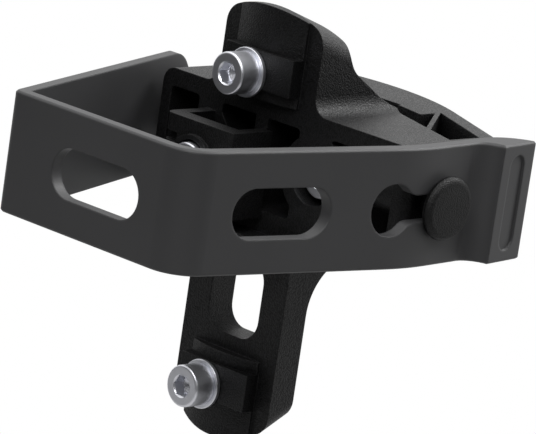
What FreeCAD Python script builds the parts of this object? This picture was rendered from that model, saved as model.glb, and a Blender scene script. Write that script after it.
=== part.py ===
"""Bike lock bracket: a moulded base for two frame bosses, with a rubber strap round the lock.

Frame: X to the right, Y away from the lock towards the bicycle, Z up, in millimetres.
The origin lies midway between the two boss screws, on the plane where the arms meet the bosses.
"""
import FreeCAD, Part
import os
import re
import Sketcher

doc = FreeCAD.newDocument("bike_lock_bracket")

SIZES = [
    # frame bosses and their screws
    ("boss_pitch", 64.0, "distance between the two boss screws"),
    ("screw_thread", 5.0, "thread of every screw"),
    ("screw_head", 8.5, "head of every screw"),
    ("screw_head_height", 5.0, "height of every head"),
    ("screw_key", 4.0, "hexagon socket across its flats"),
    ("screw_key_depth", 2.6, "depth of the socket"),
    ("screw_edge", 0.45, "bevel round a head"),
    ("boss_screw_length", 20.0, "shank of a boss screw"),
    ("screw_neck", 4.5, "neck of a boss screw, between its head and its thread"),
    ("washer_width", 10.0, "outside of a washer"),
    ("washer_gauge", 1.0, "thickness of a washer"),
    ("hole_play", 0.25, "radial play of a hole round a screw"),
    ("contact_gap", 0.3, "gap between the rubber and what it lies beside"),
    ("left_gap", 1.2, "gap between the strap's left side and the crossbar"),
    # arms
    ("arm_width", 26.75, "width of the arms"),
    ("arm_middle", 2.45, "centre line of the arms, right of the screws"),
    ("arm_gauge", 6.6, "thickness of the arms"),
    ("arm_top", 45.9, "highest point of the upper arm"),
    ("arm_bottom", -41.9, "lowest point of the lower arm"),
    ("arm_top_radius", 30.0, "crown of the upper arm's end"),
    ("arm_bottom_radius", 22.0, "crown of the lower arm's end"),
    ("arm_corner", 4.4, "round corners of the arms"),
    ("arm_end_fall", 26.0, "slope of the lower arm's end towards the frame, degrees"),
    ("upper_end_fall", 19.5, "slope of the upper arm's end, degrees"),
    ("arm_end_back", 1.8, "how far the upper arm reaches behind the bosses' plane"),
    # round seats and the saddle plates on them
    ("seat_width", 18.4, "width of a round seat"),
    ("seat_rise", 2.3, "how far a seat stands out"),
    ("seat_side", 0.6, "how far a seat's upright sides stand out"),
    ("lower_seat_top", -24.6, "upper end of the lower seat"),
    ("plate_width", 18.6, "width of a saddle plate"),
    ("plate_height", 7.5, "height of a saddle plate"),
    ("plate_gauge", 1.0, "thickness of a saddle plate at its middle"),
    ("plate_lift", 1.15, "how far the plates sit above their screws"),
    ("seat_opening", 11.0, "length of the slot through a seat"),
    # crossbar
    ("bar_left", -26.0, "left end of the crossbar"),
    ("bar_right", 43.2, "right end of the crossbar, beside the button"),
    ("bar_right_back", 40.4, "right end of the crossbar, behind the button"),
    ("bar_step_front", 1.5, "where the right end starts to step in"),
    ("bar_step_back", 7.0, "where the right end has stepped in"),
    ("bar_bottom", 2.5, "underside of the crossbar"),
    ("wing_bottom", 4.6, "underside of the crossbar's right end"),
    ("wing_start", 20.5, "where the underside starts to rise"),
    ("bar_top", 27.1, "top of the crossbar"),
    ("bar_end_round", 3.0, "round edges of the left end"),
    ("bar_nose_round", 2.4, "round edge at the front of the right end"),
    ("bar_back", 34.1, "furthest point of the crossbar's back"),
    ("bar_back_radius", 47.5, "curve of the crossbar's back"),
    ("bar_flank", 25.6, "slope of the straight flanks of the back, degrees"),
    ("flare_reach", 16.2, "how far the arms flare back into the crossbar"),
    ("flare_rise", 10.4, "how far the flare climbs the arms"),
    ("flare_arm_radius", 11.5, "bend of the flare at the lower arm"),
    ("upper_flare_radius", 6.5, "bend of the flare at the upper arm"),
    ("flare_bar_radius", 15.0, "bend of the flare at the crossbar"),
    ("root_radius", 3.5, "hollow between the sides of the arms and the crossbar"),
    # slot of the lower arm and the rib above it
    ("arm_slot_width", 13.9, "width of the slot through the lower arm"),
    ("arm_slot_bottom", -21.4, "lower end of the slot"),
    ("arm_slot_top", -5.0, "upper end of the slot"),
    ("arm_slot_corner", 4.5, "corners of the slot"),
    ("rib_reach", 5.5, "how far the rib at the root of the lower arm stands out"),
    ("rib_top", 0.9, "top of that rib"),
    ("rib_height", 4.4, "height of that rib"),
    # pockets in the crossbar's front
    ("pocket_depth", 10.5, "depth of the front pockets"),
    ("pocket_top", 23.5, "top of the front pockets"),
    ("pocket_bottom", 5.2, "bottom of the front pockets"),
    ("wing_pocket_floor", 1.6, "wall under the fourth pocket"),
    ("pocket_corner", 0.8, "corners of the front pockets"),
    ("end_wall", 2.6, "wall left of the first pocket"),
    ("first_pocket", 8.1, "width of the first pocket"),
    ("second_pocket", 9.4, "width of the second pocket"),
    ("second_pocket_right", 0.8, "right side of the second pocket"),
    ("second_pocket_low", 17.5, "bottom of the second pocket"),
    ("second_slant", 3.4, "how far its left side slants in"),
    ("second_side", 2.0, "upright part of its left side"),
    ("third_pocket", 8.9, "width of the third pocket"),
    ("pocket_rib", 3.3, "rib between the second and third pockets"),
    ("fourth_pocket_left", 21.7, "left side of the fourth pocket"),
    ("fourth_pocket", 17.4, "width of the fourth pocket"),
    ("boss_radius", 8.6, "round boss of the right bar screw"),
    # hollows in the crossbar's top
    ("rim_gauge", 3.45, "wall along the back of the crossbar"),
    ("beam_depth", 23.0, "depth of the beam at the right side of the upper arm"),
    ("beam_taper", 19.7, "slope of the beam's back edge, degrees"),
    ("well_floor", 5.5, "thickness under the hollows"),
    ("well_left", 9.0, "left tip of the hollow behind the beam"),
    ("well_step", 20.2, "side of the solid middle"),
    ("well_step_y", 19.6, "front corner of the solid middle"),
    ("well_end_wall", 1.8, "wall at the right end of the hollow"),
    ("stay_gauge", 1.3, "rib across the hollow"),
    ("stay_foot", 30.2, "where that rib meets the beam"),
    ("stay_lean", 36.2, "lean of that rib, degrees"),
    # channel for the frame behind the arms, and the hollows in the underside
    ("channel_wall", 3.0, "side walls of the channel"),
    ("channel_front", 6.0, "front of the channel inside the crossbar"),
    ("channel_depth", 22.0, "depth of the channel behind the arms"),
    ("cavity_front", 5.0, "front of the hollow that holds the strap's bead"),
    ("cavity_length", 17.0, "length of that hollow"),
    ("cavity_width", 9.0, "width of that hollow"),
    ("cavity_roof", 4.0, "thickness over the hollows of the underside"),
    ("core_wall", 3.0, "wall between the channel and the hollow behind it"),
    ("core_length", 34.0, "length of the hollow behind the channel"),
    # hollow block with the left bar screw
    ("block_left", -13.0, "left side of the block"),
    ("block_right", 6.2, "right side of the block"),
    ("block_reach", 11.4, "how far the block stands out"),
    ("block_top", 21.4, "top of the block"),
    ("block_bottom", 3.7, "underside of the block"),
    ("block_front_wall", 4.0, "front wall of the block"),
    ("block_side_wall", 2.6, "side walls of the block"),
    ("block_floor", 3.0, "floor of the block"),
    ("block_corner", 2.0, "left front corner of the block"),
    ("notch_width", 4.0, "width of the small notch in the block's front"),
    ("notch_height", 1.9, "height of that notch"),
    ("notch_depth", 1.6, "depth of that notch"),
    ("notch_low", 16.0, "lower side of that notch"),
    ("ring_width", 11.6, "raised ring round the left bar screw"),
    ("ring_rise", 0.9, "how far the ring stands out"),
    ("counterbore", 9.6, "counterbore of the left bar screw"),
    ("left_screw_sink", 4.0, "depth of its counterbore below the ring"),
    ("left_screw_x", -4.0, "left bar screw"),
    ("left_screw_z", 12.9, "height of the left bar screw"),
    ("right_screw_x", 18.2, "right bar screw"),
    ("right_screw_z", 14.9, "height of the right bar screw"),
    ("right_counterbore", 11.0, "counterbore of the right bar screw"),
    ("right_screw_sink", 6.8, "depth of its counterbore"),
    ("bar_screw_length", 12.0, "shank of a bar screw"),
    # strap
    ("strap_gauge", 2.6, "thickness of the strap"),
    ("strap_height", 23.8, "height of the strap"),
    ("strap_middle", 16.4, "middle height of the strap"),
    ("strap_front", -62.3, "front of the strap"),
    ("strap_splay_left", 19.7, "splay of the strap's left side, degrees"),
    ("strap_splay_right", 8.9, "splay of the strap's right side, degrees"),
    ("strap_left_round", 1.8, "left front corner of the strap"),
    ("strap_right_round", 7.6, "right front corner of the strap"),
    ("strap_edge", 0.4, "bevel along the edges of the strap's outside"),
    ("tab_edge", 0.4, "bevel round the tab's outer face"),
    ("tongue_height", 14.0, "height of the strap's tongue"),
    ("tongue_y", 10.7, "middle of the tongue where it enters the crossbar"),
    ("tongue_bend", 3.0, "inside bend of the tongue"),
    ("shoulder_round", 8.0, "rounded shoulder above and below the tongue"),
    ("shoulder_y", -0.8, "where the shoulder starts"),
    ("bead_width", 6.6, "bead at the tongue's end"),
    ("front_slot_left", 2.9, "left end of the slot in the strap's front"),
    ("front_slot_length", 23.7, "length of that slot"),
    ("slot_height", 9.9, "height of the strap's slots"),
    ("side_slot_start", 11.6, "start of the slot in the right side, from the front"),
    ("side_slot_length", 23.1, "length of that slot"),
    ("strap_tuck", 5.0, "how far the right side turns in beside the button, degrees"),
    ("strap_tuck_radius", 44.0, "bend before the button"),
    ("strap_tuck_run", 2.4, "from that bend to the button"),
    ("keyhole_width", 10.4, "round hole that slips over the button"),
    ("keyhole_y", -13.3, "middle of the round hole"),
    ("keyhole_z", 16.25, "height of the button, the keyhole and the slots"),
    ("keyhole_slot", 5.5, "slot that the button's post rests in"),
    ("keyhole_blend", 3.0, "round shoulders between hole and slot"),
    # pull tab
    ("tab_root", 7.2, "where the tab starts to flare out"),
    ("tab_flare", 4.6, "hollow in front of the tab's ridge"),
    ("tab_ridge_x", 49.1, "ridge of the tab"),
    ("tab_ridge_y", 12.8, "ridge of the tab"),
    ("tab_back_x", 47.6, "back edge of the tab"),
    ("tab_back_y", 23.4, "back edge of the tab"),
    ("tab_inner_y", 14.5, "where the tab's inner side ends"),
    ("recess_length", 19.2, "length of the plain recess in the tab"),
    ("recess_width", 4.8, "width of the recess"),
    ("recess_depth", 0.45, "depth of the recess"),
    # button
    ("button_y", 0.0, "axis of the button"),
    ("button_width", 12.7, "head of the button"),
    ("button_crown", 2.4, "height of the button's head"),
    ("button_round", 1.5, "width of the bevelled rim of the head"),
    ("post_width", 5.2, "post of the button"),
    ("button_lift", 0.45, "gap under the head of the button"),
    ("spigot_length", 12.0, "stretch of the post inside the crossbar"),
    ("spigot_wall", 2.0, "wall round that stretch"),
]

sheet = doc.addObject("Spreadsheet::Sheet", "Sizes")
for row, (alias, value, note) in enumerate(SIZES, start=1):
    sheet.set(f"A{row}", note)
    sheet.set(f"B{row}", str(value))
    sheet.setAlias(f"B{row}", alias)

# Places that follow from the sizes, each a formula of the sheet.
PLACES = [
    ("arm_left", "arm_middle - arm_width / 2"),
    ("arm_right", "arm_middle + arm_width / 2"),
    ("arm_front", "-arm_gauge"),
    ("seat_bow", "seat_rise - seat_side"),
    ("seat_radius", "(seat_width ^ 2 / 4 + seat_bow ^ 2) / (2 * seat_bow)"),
    ("seat_front", "arm_front - seat_rise"),
    ("seat_axis", "seat_front + seat_radius"),
    ("plate_front", "seat_front - plate_gauge"),
    ("washer_front", "plate_front - washer_gauge"),
    ("bar_middle", "(bar_top + bar_bottom) / 2"),
    ("bar_height", "bar_top - bar_bottom"),
    ("back_axis", "bar_back - bar_back_radius"),
    ("flank_x", "bar_back_radius * sin(bar_flank)"),
    ("flank_y", "back_axis + bar_back_radius * cos(bar_flank)"),
    ("back_left", "flank_y - (-bar_left - flank_x) * tan(bar_flank)"),
    ("back_right", "flank_y - (bar_right_back - flank_x) * tan(bar_flank)"),
    ("rim_drop", "rim_gauge / cos(bar_flank)"),
    ("flare_length", "sqrt(flare_reach ^ 2 + flare_rise ^ 2)"),
    ("flare_cos", "flare_reach / flare_length"),
    ("flare_sin", "flare_rise / flare_length"),
    ("flare_bend", "(1 - flare_sin) / flare_cos"),
    ("flare_bar_leg", "flare_bar_radius * (1 - flare_cos) / flare_sin"),
    ("first_pocket_left", "bar_left + end_wall"),
    ("third_pocket_left", "second_pocket_right + pocket_rib"),
    ("block_front", "arm_front - block_reach"),
    ("ring_front", "block_front - ring_rise"),
    ("left_screw_seat", "ring_front + left_screw_sink"),
    ("right_screw_seat", "arm_front + right_screw_sink"),
    ("strap_bottom", "strap_middle - strap_height / 2"),
    ("strap_inner_front", "strap_front + strap_gauge"),
    ("left_cos", "cos(strap_splay_left)"),
    ("left_sin", "sin(strap_splay_left)"),
    ("left_touch_x", "bar_left - left_gap * left_cos"),
    ("left_touch_y", "arm_front - left_gap * left_sin"),
    ("left_inner_x", "left_touch_x + (left_touch_y - strap_inner_front) * left_sin / left_cos"),
    ("left_outer_x",
     "left_touch_x - strap_gauge * left_cos"
     " + (left_touch_y - strap_gauge * left_sin - strap_front) * left_sin / left_cos"),
    ("bend_y", "tongue_y - strap_gauge / 2 - tongue_bend"),
    ("bend_run", "(bend_y - left_touch_y - tongue_bend * left_sin) / left_cos"),
    ("bend_x", "left_touch_x - bend_run * left_sin + tongue_bend * left_cos"),
    ("bend_inner_x", "bend_x - tongue_bend * left_cos"),
    ("bend_inner_y", "bend_y - tongue_bend * left_sin"),
    ("bend_outer_x", "bend_x - (tongue_bend + strap_gauge) * left_cos"),
    ("bend_outer_y", "bend_y - (tongue_bend + strap_gauge) * left_sin"),
    ("tongue_front", "tongue_y - strap_gauge / 2"),
    ("tongue_back", "tongue_y + strap_gauge / 2"),
    ("button_seat", "bar_right + contact_gap"),
    ("strap_outside", "button_seat + strap_gauge"),
    ("right_cos", "cos(strap_splay_right)"),
    ("right_sin", "sin(strap_splay_right)"),
    ("tuck_cos", "cos(strap_tuck)"),
    ("tuck_sin", "sin(strap_tuck)"),
    ("tuck_leg", "strap_tuck_radius * tan((strap_splay_right + strap_tuck) / 2)"),
    ("tuck_end_x", "strap_outside + strap_tuck_run * tuck_sin"),
    ("tuck_end_y", "button_y - strap_tuck_run * tuck_cos"),
    ("tuck_start_x", "tuck_end_x + tuck_leg * tuck_sin - tuck_leg * right_sin"),
    ("tuck_start_y", "tuck_end_y - tuck_leg * tuck_cos - tuck_leg * right_cos"),
    ("root_x", "strap_outside - (tab_root - button_y) * tuck_sin / tuck_cos"),
    ("right_corner_x", "tuck_start_x - (tuck_start_y - strap_front) * right_sin / right_cos"),
    ("right_leg", "strap_right_round * tan(45 - strap_splay_right / 2)"),
    ("right_inner_leg", "(strap_right_round - strap_gauge) * tan(45 - strap_splay_right / 2)"),
    ("right_inner_corner_x",
     "right_corner_x - strap_gauge / right_cos + strap_gauge * right_sin / right_cos"),
    ("left_leg", "strap_left_round * tan(45 - strap_splay_left / 2)"),
    ("tab_inner_x", "root_x - strap_gauge * tuck_cos - 0.2"),
    ("tab_back_radius",
     "((tab_back_x - tab_inner_x) ^ 2 + (tab_back_y - tab_inner_y) ^ 2)"
     " / (2 * (tab_back_x - tab_inner_x))"),
    ("beam_back", "arm_front + beam_depth"),
    ("beam_slope", "tan(beam_taper)"),
    ("stay_run", "tan(stay_lean)"),
    ("stay_half", "stay_gauge / 2 / cos(stay_lean)"),
    ("stay_left", "stay_foot - stay_half"),
    ("stay_right", "stay_foot + stay_half"),
    ("stay_left_y", "beam_back - (stay_left - arm_right) * beam_slope"),
    ("stay_right_y", "beam_back - (stay_right - arm_right) * beam_slope"),
    ("flank_slope", "tan(bar_flank)"),
    ("rim_line", "flank_y - rim_drop + flank_x * flank_slope"),
    ("well_right", "bar_right_back - well_end_wall"),
    ("stay_tip_x",
     "(stay_right - (rim_line - stay_right_y) * stay_run) / (1 - flank_slope * stay_run)"),
    ("core_half", "core_length / 2"),
    ("core_front", "channel_depth + core_wall"),
    ("core_back_radius", "bar_back_radius - rim_gauge"),
    ("core_side", "back_axis + sqrt(core_back_radius ^ 2 - core_half ^ 2)"),
    ("window_half", "strap_gauge / 2 + contact_gap"),
    ("bead_x", "first_pocket_left + sqrt(bead_width ^ 2 / 4 - window_half ^ 2)"),
    ("tab_lean", "atan((tab_ridge_x - tab_back_x) / (tab_back_y - tab_ridge_y))"),
    ("blend_run",
     "sqrt((keyhole_width / 2 + keyhole_blend) ^ 2 - (keyhole_slot / 2 + keyhole_blend) ^ 2)"),
    ("blend_part", "keyhole_width / 2 / (keyhole_width / 2 + keyhole_blend)"),
    ("shoulder_drop", "(strap_height - tongue_height) / 2"),
    ("shoulder_run", "sqrt(shoulder_round ^ 2 - (shoulder_round - shoulder_drop) ^ 2)"),
]
for row, (alias, formula) in enumerate(PLACES, start=1):
    sheet.set(f"D{row}", "=" + formula)
    sheet.setAlias(f"D{row}", alias)
doc.recompute()

ALIASES = [row[0] for row in SIZES] + [row[0] for row in PLACES]
WORD = re.compile(r"\b(" + "|".join(ALIASES) + r")\b")
probe = doc.addObject("App::FeaturePython", "Probe")
probe.addProperty("App::PropertyFloat", "Result")


def bound(formula):
    """The formula as an expression that reads the sheet from anywhere in the document."""
    return WORD.sub(r"Sizes.\1", str(formula))


def number(formula):
    """The formula's present value, used only to draw a sketch near its final form."""
    probe.setExpression("Result", bound(formula))
    probe.recompute()
    return probe.Result


def drive(item, **formulas):
    """Bind properties of an object to formulas of the sheet."""
    for name, formula in formulas.items():
        item.setExpression(name, bound(formula))


def place(item, x=0, y=0, z=0):
    """Bind an object's place to formulas of the sheet."""
    item.setExpression("Placement.Base.x", bound(x))
    item.setExpression("Placement.Base.y", bound(y))
    item.setExpression("Placement.Base.z", bound(z))


FACING = {
    "up": FreeCAD.Rotation(),
    "front": FreeCAD.Rotation(FreeCAD.Vector(1, 0, 0), 90),
    "right": FreeCAD.Rotation(FreeCAD.Vector(1, 1, 1), 120),
}
ALONG = {
    "x": FreeCAD.Rotation(FreeCAD.Vector(0, 1, 0), 90),
    "y": FreeCAD.Rotation(FreeCAD.Vector(1, 0, 0), -90),
    "z": FreeCAD.Rotation(),
}


def pin(sketch, geometry, end, x, y):
    """Hold one end of a line or arc at two formulas of the sheet."""
    for kind, formula in (("DistanceX", x), ("DistanceY", y)):
        rule = Sketcher.Constraint(kind, -1, 1, geometry, end, number(formula))
        index = sketch.addConstraint(rule)
        sketch.setExpression(f"Constraints[{index}]", bound(formula))


def draw(sketch, corners):
    """Draw a closed outline through the corners.

    A corner is (x, y), or (x, y, radius, turn) where an arc leads on to the next corner:
    turn is 1 for an arc that turns left and -1 for one that turns right.
    """
    points = [FreeCAD.Vector(number(c[0]), number(c[1]), 0) for c in corners]
    ends = []
    for index, corner in enumerate(corners):
        start = points[index]
        stop = points[(index + 1) % len(points)]
        if len(corner) == 2:
            item = sketch.addGeometry(Part.LineSegment(start, stop))
            ends.append((item, 1, 2))
            continue
        radius, turn = number(corner[2]), corner[3]
        chord = stop - start
        rise = max(radius ** 2 - chord.Length ** 2 / 4, 0) ** 0.5
        side = FreeCAD.Vector(-chord.y, chord.x, 0).normalize() * turn
        centre = (start + stop) / 2 + side * rise
        first, last = (start, stop) if turn > 0 else (stop, start)
        angles = [(p - centre).getAngle(FreeCAD.Vector(1, 0, 0)) * (1 if p.y >= centre.y else -1)
                  for p in (first, last)]
        circle = Part.Circle(centre, FreeCAD.Vector(0, 0, 1), radius)
        item = sketch.addGeometry(Part.ArcOfCircle(circle, angles[0], angles[1]))
        rule = sketch.addConstraint(Sketcher.Constraint("Radius", item, radius))
        sketch.setExpression(f"Constraints[{rule}]", bound(corner[2]))
        ends.append((item, 1, 2) if turn > 0 else (item, 2, 1))
    for index, corner in enumerate(corners):
        item, start_end, stop_end = ends[index]
        after, after_start, _ = ends[(index + 1) % len(ends)]
        pin(sketch, item, start_end, corner[0], corner[1])
        sketch.addConstraint(Sketcher.Constraint("Coincident", item, stop_end, after, after_start))
    return sketch


def outline(name, facing, corners, at=0):
    """A closed sketch that stands alone, on a plane through the origin or moved along its axis."""
    sketch = doc.addObject("Sketcher::SketchObject", name)
    sketch.Placement = FreeCAD.Placement(FreeCAD.Vector(), FACING[facing])
    place(sketch, **{{"up": "z", "front": "y", "right": "x"}[facing]: at})
    return draw(sketch, corners)


def extrude(name, sketch, direction, length, back=0):
    """A solid swept from a sketch along a direction, and back by another length."""
    solid = doc.addObject("Part::Extrusion", name)
    solid.Base = sketch
    solid.DirMode = "Custom"
    solid.Dir = FreeCAD.Vector(*direction)
    solid.Solid = True
    drive(solid, LengthFwd=length, LengthRev=back)
    return solid


def box(name, x, y, z, right, back, top):
    """A box between two corners."""
    solid = doc.addObject("Part::Box", name)
    drive(solid, Length=f"({right}) - ({x})", Width=f"({back}) - ({y})", Height=f"({top}) - ({z})")
    place(solid, x, y, z)
    return solid


def rod(name, along, x, y, z, radius, length):
    """A cylinder along an axis, from the middle of its first end."""
    solid = doc.addObject("Part::Cylinder", name)
    solid.Placement = FreeCAD.Placement(FreeCAD.Vector(), ALONG[along])
    drive(solid, Radius=radius, Height=length)
    place(solid, x, y, z)
    return solid


def fuse(name, *parts):
    solid = doc.addObject("Part::MultiFuse", name)
    solid.Shapes = list(parts)
    solid.Refine = True
    return solid


def common(name, *parts):
    solid = doc.addObject("Part::MultiCommon", name)
    solid.Shapes = list(parts)
    return solid


def cut(name, whole, tool):
    solid = doc.addObject("Part::Cut", name)
    solid.Base = whole
    solid.Tool = tool
    return solid


# Arms: two rounded ends whose outlines fall back towards the frame.

def arm_end(name, sign, tip, radius, fall, back):
    """One arm's front outline, and the arm swept back from it along the slope of its end."""
    inset = "(arm_width / 2 - arm_corner)"
    axis = f"({tip} - {sign} * {radius})"
    rise = f"sqrt(({radius} - arm_corner) ^ 2 - {inset} ^ 2)"
    grow = f"{radius} / ({radius} - arm_corner)"
    side = f"{axis} + {sign} * {rise}"
    crown = f"{axis} + {sign} * {rise} * {grow}"
    corners = [
        ("arm_left", "bar_middle"),
        ("arm_left", side, "arm_corner", -sign),
        (f"arm_middle - {inset} * {grow}", crown, radius, -sign),
        (f"arm_middle + {inset} * {grow}", crown, "arm_corner", -sign),
        ("arm_right", side),
        ("arm_right", "bar_middle"),
    ]
    front = outline(f"{name}_outline", "front", corners, "arm_front")
    solid = extrude(f"{name}_sweep", front, (0, 1, 0), f"({back} + arm_gauge) / cos({fall})")
    solid.Dir = FreeCAD.Vector(0, 1, -sign * number(f"tan({fall})"))
    return front, solid


upper_front, upper_sweep = arm_end(
    "upper_arm", 1, "arm_top", "arm_top_radius", "upper_end_fall", "channel_depth")
lower_front, lower_sweep = arm_end(
    "lower_arm", -1, "arm_bottom", "arm_bottom_radius", "arm_end_fall", "channel_depth")


def flare(sign, face, behind, bend):
    """Corners of the side profile where one arm flares back into the crossbar."""
    run = f"{face} + {sign} * flare_rise * (1 - {behind} / flare_reach)"
    leg = f"{bend} * flare_bend"
    return [
        (behind, f"{run} + {sign} * {leg}", bend, sign),
        (f"{behind} + {leg} * flare_cos", f"{run} - {sign} * {leg} * flare_sin"),
        ("flare_reach - flare_bar_leg * flare_cos",
         f"{face} + {sign} * flare_bar_leg * flare_sin", "flare_bar_radius", sign),
        ("flare_reach + flare_bar_leg", face),
    ]


def reversed_path(corners):
    """The same stretch walked the other way."""
    turned = []
    for index in range(len(corners) - 1, -1, -1):
        here = corners[index][:2]
        before = corners[index - 1] if index else ()
        turned.append(here + (before[2], -before[3]) if len(before) == 4 else here)
    return turned


side_profile = outline(
    "side_profile", "right",
    [("arm_front", "arm_top + arm_gauge")]
    + [("arm_end_back", "arm_top + arm_gauge")]
    + flare(1, "bar_top", "arm_end_back", "upper_flare_radius")
    + reversed_path(flare(-1, "bar_bottom", 0, "flare_arm_radius"))
    + [(0, "arm_bottom - arm_gauge"), ("arm_front", "arm_bottom - arm_gauge")],
    "arm_left - root_radius")
side_sweep = extrude("side_sweep", side_profile, (1, 0, 0), "arm_width + 2 * root_radius")


def root_hollow(name, side, sign, face):
    """The hollow fillet between one side of an arm and the crossbar."""
    edge = "arm_right" if side > 0 else "arm_left"
    corners = [
        (edge, f"{face} + {sign} * root_radius", "root_radius", side * sign),
        (f"{edge} + {side} * root_radius", face),
        (f"{edge} + {side} * root_radius", "bar_middle"),
        (f"{edge} - {side}", "bar_middle"),
        (f"{edge} - {side}", f"{face} + {sign} * root_radius"),
    ]
    front = outline(name, "front", corners, "arm_front")
    return extrude(f"{name}_sweep", front, (0, 1, 0), "channel_depth + arm_gauge")


roots = fuse(
    "roots",
    root_hollow("upper_right_root", 1, 1, "bar_top"),
    root_hollow("upper_left_root", -1, 1, "bar_top"),
    root_hollow("lower_right_root", 1, -1, "bar_bottom"),
    root_hollow("lower_left_root", -1, -1, "bar_bottom"))
arms = common("arms", fuse("arm_sweeps", upper_sweep, lower_sweep, roots), side_sweep)

# Crossbar: its plan, with round upper and lower edges at the left end.
bar_plan = outline("bar_plan", "up", [
    ("bar_left", "arm_front"),
    ("bar_right - bar_nose_round", "arm_front", "bar_nose_round", 1),
    ("bar_right", "arm_front + bar_nose_round"),
    ("bar_right", "bar_step_front"),
    ("bar_right_back", "bar_step_back"),
    ("bar_right_back", "back_right"),
    ("flank_x", "flank_y", "bar_back_radius", 1),
    ("-flank_x", "flank_y"),
    ("bar_left", "back_left"),
], "bar_bottom")
bar_section = outline("bar_section", "front", [
    ("bar_left + bar_end_round", "bar_bottom"),
    ("wing_start", "bar_bottom"),
    ("wing_start + wing_bottom - bar_bottom", "wing_bottom"),
    ("bar_right + 1", "wing_bottom"),
    ("bar_right + 1", "bar_top"),
    ("bar_left + bar_end_round", "bar_top", "bar_end_round", 1),
    ("bar_left", "bar_top - bar_end_round"),
    ("bar_left", "bar_bottom + bar_end_round", "bar_end_round", 1),
], "arm_front - 1")
crossbar = common(
    "crossbar",
    extrude("bar_plan_sweep", bar_plan, (0, 0, 1), "bar_height"),
    extrude("bar_section_sweep", bar_section, (0, 1, 0), "bar_back - arm_front + 2"))


# Round seats on the arms, cut to the outline of each arm's end.

def seat(name, front, low, high):
    """The stretch of the seat cylinder that stands out from one arm."""
    drum = rod(f"{name}_drum", "z", "arm_middle", "seat_axis", low, "seat_radius",
               f"({high}) - ({low})")
    reach = box(f"{name}_reach", "arm_middle - seat_width / 2", "seat_front - 1", low,
                "arm_middle + seat_width / 2", "arm_front", high)
    whole = extrude(f"{name}_outline", front, (0, -1, 0), "seat_rise + 2")
    return common(name, drum, reach, whole)


upper_seat = seat("upper_seat", upper_front, "bar_top", "arm_top + arm_gauge")
lower_seat = seat("lower_seat", lower_front, "arm_bottom - arm_gauge", "lower_seat_top")

# Hollow block in front of the crossbar, its ring, and the rib at the root of the lower arm.
block_plan = outline("block_plan", "up", [
    ("block_left + block_corner", "block_front"),
    ("block_right", "block_front"),
    ("block_right", "arm_front + 1"),
    ("block_left", "arm_front + 1"),
    ("block_left", "block_front + block_corner", "block_corner", 1),
], "block_bottom")
block = extrude("block", block_plan, (0, 0, 1), "block_top - block_bottom")
ring = rod("ring", "y", "left_screw_x", "ring_front", "left_screw_z", "ring_width / 2",
           "ring_rise + 0.5")
rib = box("rib", "arm_left", "arm_front - rib_reach", "rib_top - rib_height",
          "arm_right", "arm_front + 1", "rib_top")
solid_base = fuse("solid_base", crossbar, arms, upper_seat, lower_seat, block, ring, rib)

# Pockets in the crossbar's front, left round the boss of the right bar screw and the tube that
# holds the button's post.


def pocket(name, corners):
    """One front pocket."""
    front = outline(f"{name}_outline", "front", corners, "arm_front - 0.5")
    return extrude(name, front, (0, 1, 0), "pocket_depth + 0.5")


def rounded(left, low, right, high, radius):
    """Corners of a rectangle with round corners."""
    return [
        (f"{left} + {radius}", low),
        (f"{right} - {radius}", low, radius, 1),
        (right, f"{low} + {radius}"),
        (right, f"{high} - {radius}", radius, 1),
        (f"{right} - {radius}", high),
        (f"{left} + {radius}", high, radius, 1),
        (left, f"{high} - {radius}"),
        (left, f"{low} + {radius}", radius, 1),
    ]


def oblong(left, low, right, high):
    """Corners of a slot with half-round ends, longer to the right than it is high."""
    radius = f"(({high}) - ({low})) / 2"
    middle = f"({low} + {high}) / 2"
    return [
        (f"{left} + {radius}", low),
        (f"{right} - {radius}", low, radius, 1),
        (right, middle, radius, 1),
        (f"{right} - {radius}", high),
        (f"{left} + {radius}", high, radius, 1),
        (left, middle, radius, 1),
    ]


first = pocket("pocket_one", rounded(
    "first_pocket_left", "pocket_bottom", "first_pocket_left + first_pocket", "pocket_top",
    "pocket_corner"))
second = pocket("pocket_two", [
    ("second_pocket_right - second_pocket + second_slant", "second_pocket_low"),
    ("second_pocket_right", "second_pocket_low"),
    ("second_pocket_right", "pocket_top"),
    ("second_pocket_right - second_pocket + pocket_corner", "pocket_top", "pocket_corner", 1),
    ("second_pocket_right - second_pocket", "pocket_top - pocket_corner"),
    ("second_pocket_right - second_pocket", "pocket_top - second_side"),
])
third = pocket("pocket_three", rounded(
    "third_pocket_left", "pocket_bottom", "third_pocket_left + third_pocket", "pocket_top",
    "pocket_corner"))
fourth = pocket("pocket_four", rounded(
    "fourth_pocket_left", "(wing_bottom + wing_pocket_floor)",
    "fourth_pocket_left + fourth_pocket", "pocket_top", "pocket_corner"))
screw_boss = rod("screw_boss", "y", "right_screw_x", "arm_front - 1", "right_screw_z",
                 "boss_radius", "pocket_depth + 2")
post_tube = rod("post_tube", "x", "bar_right - spigot_length", "button_y", "keyhole_z",
                "post_width / 2 + spigot_wall", "spigot_length")
pockets = cut("pockets", fuse("pocket_tools", first, second, third, fourth),
              fuse("pocket_cores", screw_boss, post_tube))

# The block's pocket, left round the tube of its screw, and the notch in its front.
block_pocket = cut(
    "block_pocket",
    box("block_hollow", "block_left + block_side_wall", "block_front + block_front_wall",
        "block_bottom + block_floor", "block_right - block_side_wall", "arm_front",
        "block_top + 1"),
    rod("block_tube", "y", "left_screw_x", "block_front", "left_screw_z",
        "counterbore / 2", "block_reach + 1"))
notch = box("notch", "block_left - 1", "block_front - 1", "notch_low",
            "block_left + notch_width", "block_front + notch_depth", "notch_low + notch_height")

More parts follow.
